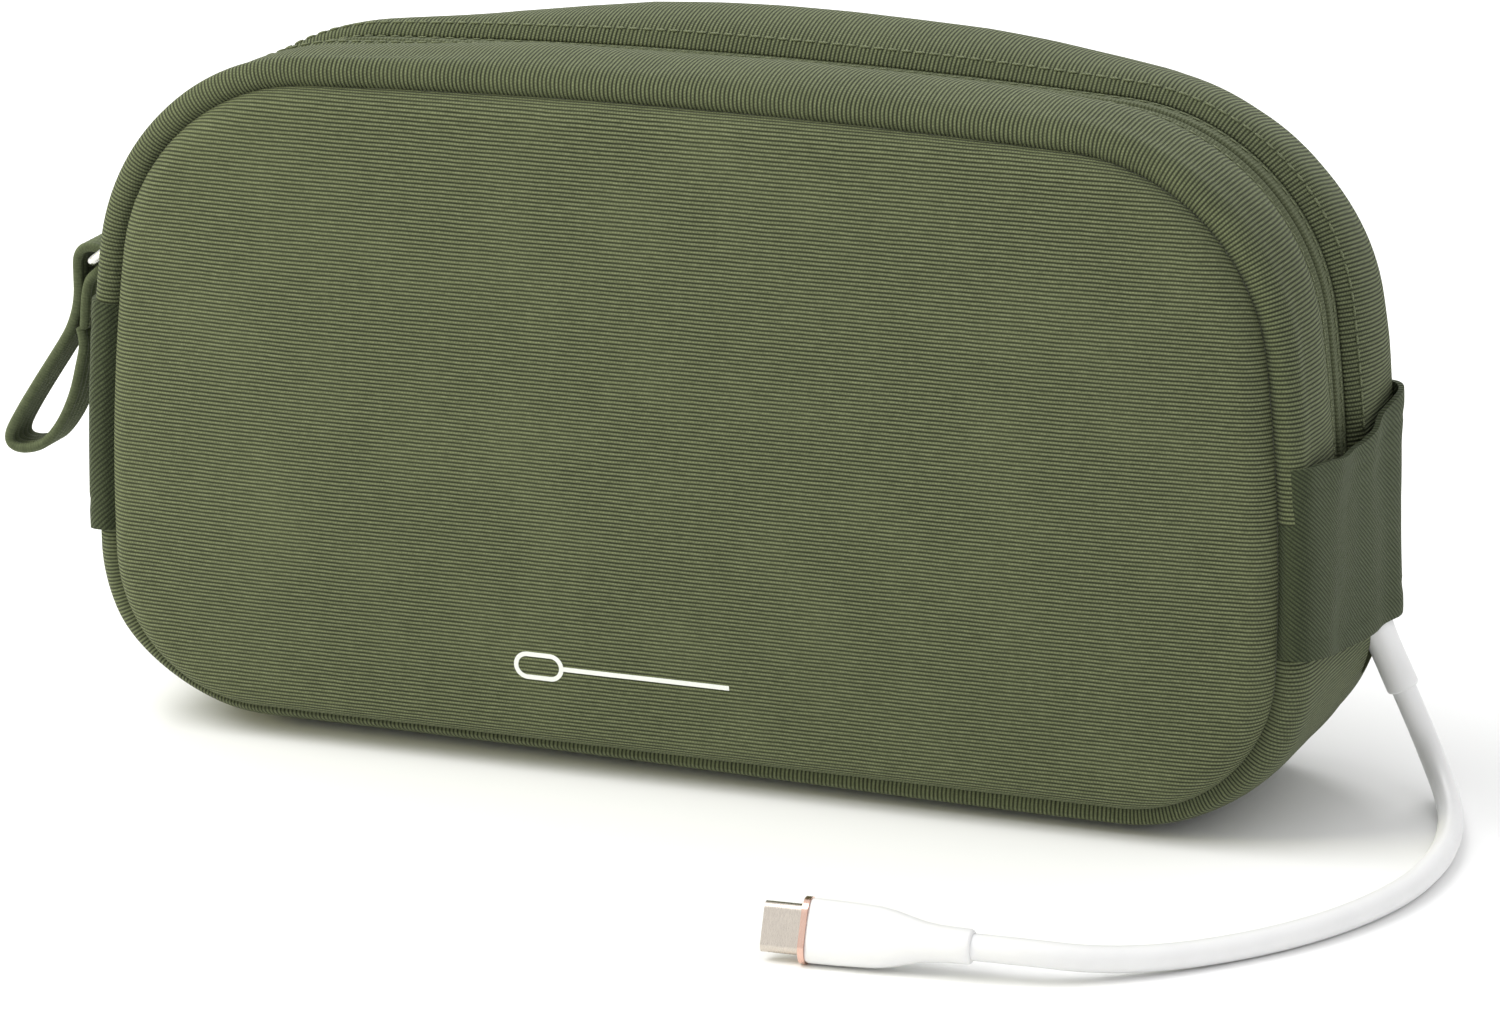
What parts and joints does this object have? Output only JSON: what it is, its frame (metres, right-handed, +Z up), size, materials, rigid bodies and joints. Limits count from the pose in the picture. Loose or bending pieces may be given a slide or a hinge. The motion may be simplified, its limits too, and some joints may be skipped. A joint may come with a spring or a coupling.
{
  "type": "cable organizer pouch",
  "caption": "Soft padded pouch for cables with a zipped mouth over the top, side bands, a webbing pull and a short USB-C lead that leaves through a port under one band.",
  "frame": {"origin": "middle of the flat base that the pouch stands on", "axes": "+X along the pouch towards the end where the lead leaves, +Y from the front panel to the back panel, +Z up"},
  "size_m": [0.2765, 0.1383, 0.1245],
  "materials": {
    "panel_cloth": "ribbed olive polyester, matt",
    "gusset_cloth": "ribbed olive polyester, ribs across the gusset",
    "band_cloth": "fine ribbed olive polyester, ribs slanted",
    "zip_tape": "olive woven zip tape",
    "zip_coil": "dark olive nylon coil",
    "webbing": "olive flat webbing, ribbed lengthwise",
    "foam": "pale closed-cell foam",
    "lining": "smooth olive-grey lining cloth",
    "binding": "olive woven binding tape",
    "mesh": "dark warp-knit mesh",
    "elastic": "dark woven elastic",
    "slider_metal": "polished nickel",
    "print": "white print film",
    "white_silicone": "satin white silicone",
    "rose_metal": "polished rose gold plate",
    "plug_steel": "satin champagne steel",
    "plug_plastic": "black moulded plastic with plated contacts"
  },
  "bodies": {
    "root": {"back_panel": "panel_cloth", "back_foam": "foam", "back_lining": "lining", "back_seam_binding": "binding", "back_top_strip": "gusset_cloth", "back_strip_foam": "foam", "back_strip_lining": "lining", "back_zip_tape": "zip_tape", "back_zip_coil": "zip_coil", "back_zip_stops": "slider_metal", "bottom_gusset": "gusset_cloth", "bottom_gusset_foam": "foam", "bottom_gusset_lining": "lining", "left_side_band": "band_cloth", "right_side_band": "band_cloth", "elastic_loop_band": "elastic", "cable_port_patch": "lining", "cable_jacket": "white_silicone", "outer_plug_sleeve": "white_silicone", "outer_plug_flange": "rose_metal", "outer_plug_shell": "plug_steel", "outer_plug_tongue": "plug_plastic", "inner_plug_sleeve": "white_silicone", "inner_plug_flange": "rose_metal", "inner_plug_shell": "plug_steel", "inner_plug_tongue": "plug_plastic"},
    "front_half": {"front_panel": "panel_cloth", "front_foam": "foam", "front_lining": "lining", "front_seam_binding": "binding", "front_top_strip": "gusset_cloth", "front_strip_foam": "foam", "front_strip_lining": "lining", "front_zip_tape": "zip_tape", "front_zip_coil": "zip_coil", "front_zip_stops": "slider_metal", "mesh_pocket": "mesh", "mesh_pocket_binding": "binding", "printed_mark": "print"},
    "slider": {"slider_body": "slider_metal", "slider_bridge": "slider_metal"},
    "pull_ring": {"pull_ring": "slider_metal"},
    "pull_loop": {"pull_webbing": "webbing"}
  },
  "joints": [
    {"name": "mouth_opening", "type": "hinge", "parent": "root", "child": "front_half", "pos_m": [0, -0.027, 0.0052], "axis": [1, 0, 0], "range_deg": [0, 18]},
    {"name": "zip_run", "type": "hinge", "parent": "root", "child": "slider", "pos_m": [-0.06704, 0, 0.08073], "axis": [0, 1, 0], "range_deg": [0, 75]},
    {"name": "ring_swing", "type": "hinge", "parent": "slider", "child": "pull_ring", "pos_m": [-0.11032, 0, 0.08456], "axis": [0, 1, 0], "range_deg": [-10, 50]},
    {"name": "loop_swing", "type": "hinge", "parent": "pull_ring", "child": "pull_loop", "pos_m": [-0.12068, 0, 0.0767], "axis": [0, 1, 0], "range_deg": [-8, 45]}
  ]
}
